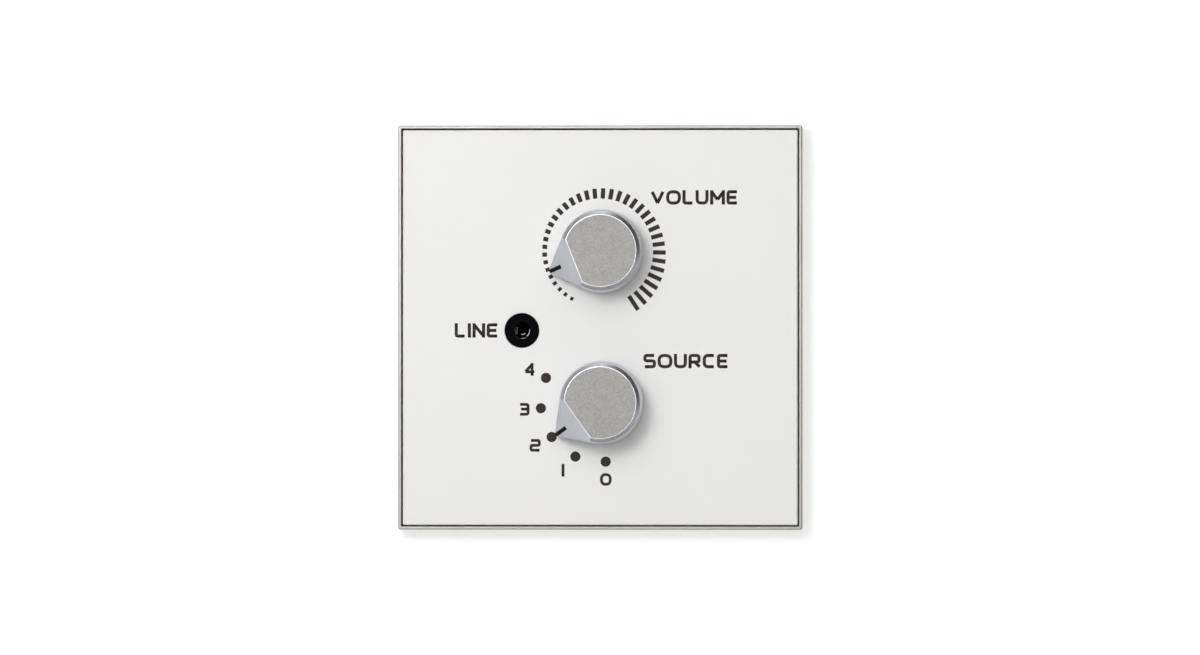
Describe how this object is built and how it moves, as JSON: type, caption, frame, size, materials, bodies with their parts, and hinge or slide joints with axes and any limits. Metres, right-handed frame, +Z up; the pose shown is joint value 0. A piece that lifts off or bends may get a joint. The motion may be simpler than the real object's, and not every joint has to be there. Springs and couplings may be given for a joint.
{
  "type": "wall volume control",
  "caption": "Square flush wall plate with a level knob on a growing bar scale, a five-way selector knob and an audio socket, over a circuit board with pull-off terminal plugs.",
  "frame": {"origin": "centre of the tray's back face, midway between its two wall-screw slots, on the wall plane", "axes": "+X right as seen from the front, +Y into the wall, +Z up; the front faces -Y"},
  "size_m": [0.083, 0.0507, 0.083],
  "materials": {
    "frame_metal": "brushed",
    "white_plate": "satin",
    "printed_ink": "matte",
    "plated_steel": "zinc plated",
    "bushing_brass": "nickel plated",
    "pressed_cover": "pressed sheet",
    "phenolic_board": "phenolic paper",
    "carbon_track": "matte",
    "tinned_metal": "tin plated",
    "switch_plastic": "moulded",
    "contact_brass": "plain",
    "spring_steel": "spring steel",
    "jack_plastic": "moulded",
    "contact_nickel": "nickel plated",
    "circuit_laminate": "solder resist",
    "spacer_brass": "nickel plated",
    "solder": "solder",
    "chip_plastic": "moulded",
    "resistor_coating": "glazed with tinned ends",
    "capacitor_ceramic": "ceramic with tinned ends",
    "can_aluminium": "drawn",
    "can_sleeve": "shrunk sleeve",
    "header_plastic": "moulded",
    "plug_plastic": "moulded",
    "clamp_metal": "nickel plated",
    "knob_metal": "satin, with a bright cut edge",
    "marker_black": "matte",
    "shaft_steel": "turned",
    "rotor_plastic": "moulded"
  },
  "bodies": {
    "panel": {"mounting_frame": "frame_metal", "front_plate": "white_plate", "level_scale_print": "printed_ink", "select_dots_print": "printed_ink", "bushing_washers": "plated_steel", "bushing_nuts": "plated_steel", "level_pot_bushing": "bushing_brass", "level_pot_cover": "pressed_cover", "level_pot_board": "phenolic_board", "level_pot_track": "carbon_track", "level_pot_terminals": "tinned_metal", "select_bushing": "bushing_brass", "select_stop_washer": "plated_steel", "select_housing": "switch_plastic", "select_contact_base": "phenolic_board", "select_contacts": "contact_brass", "select_detent_spring": "spring_steel", "jack_body": "jack_plastic", "jack_sleeve_contact": "contact_nickel", "jack_tip_spring": "contact_nickel", "jack_ring_spring": "contact_nickel", "jack_switch_contact": "contact_nickel", "circuit_board": "circuit_laminate", "board_spacers": "spacer_brass", "board_screws": "plated_steel", "solder_joints": "solder", "line_amplifier": "chip_plastic", "line_amplifier_leads": "tinned_metal", "ladder_resistors": "resistor_coating", "chip_capacitors": "capacitor_ceramic", "coupling_capacitors": "can_aluminium", "capacitor_sleeves": "can_sleeve", "capacitor_leads": "tinned_metal", "control_header": "header_plastic", "control_header_pins": "tinned_metal", "audio_header": "header_plastic", "audio_header_pins": "tinned_metal"},
    "level_control": {"level_knob": "knob_metal", "level_marker": "marker_black", "level_knob_clip": "spring_steel", "level_shaft": "shaft_steel", "level_shaft_retainer": "spring_steel", "level_rotor": "rotor_plastic", "level_wiper": "contact_brass"},
    "select_control": {"select_knob": "knob_metal", "select_marker": "marker_black", "select_knob_clip": "spring_steel", "select_shaft": "shaft_steel", "select_shaft_retainer": "spring_steel", "select_rotor": "rotor_plastic", "select_contact_bridge": "contact_brass"},
    "control_plug": {"control_plug_body": "plug_plastic", "control_plug_clamps": "clamp_metal", "control_plug_screws": "clamp_metal"},
    "audio_plug": {"audio_plug_body": "plug_plastic", "audio_plug_clamps": "clamp_metal", "audio_plug_screws": "clamp_metal"}
  },
  "joints": [
    {"name": "level_turn", "type": "hinge", "parent": "panel", "child": "level_control", "pos_m": [0.00045, 0, 0.0156], "axis": [0, 1, 0], "range_deg": [-39.6, 260.4]},
    {"name": "select_turn", "type": "hinge", "parent": "panel", "child": "select_control", "pos_m": [0.00045, 0, -0.0154], "axis": [0, 1, 0], "range_deg": [-60, 60], "deforming": ["select_detent_spring"]},
    {"name": "control_plug_pull", "type": "slide", "parent": "panel", "child": "control_plug", "axis": [0, 1, 0], "range_m": [0, 0.01]},
    {"name": "audio_plug_pull", "type": "slide", "parent": "panel", "child": "audio_plug", "axis": [0, 1, 0], "range_m": [0, 0.01]}
  ]
}
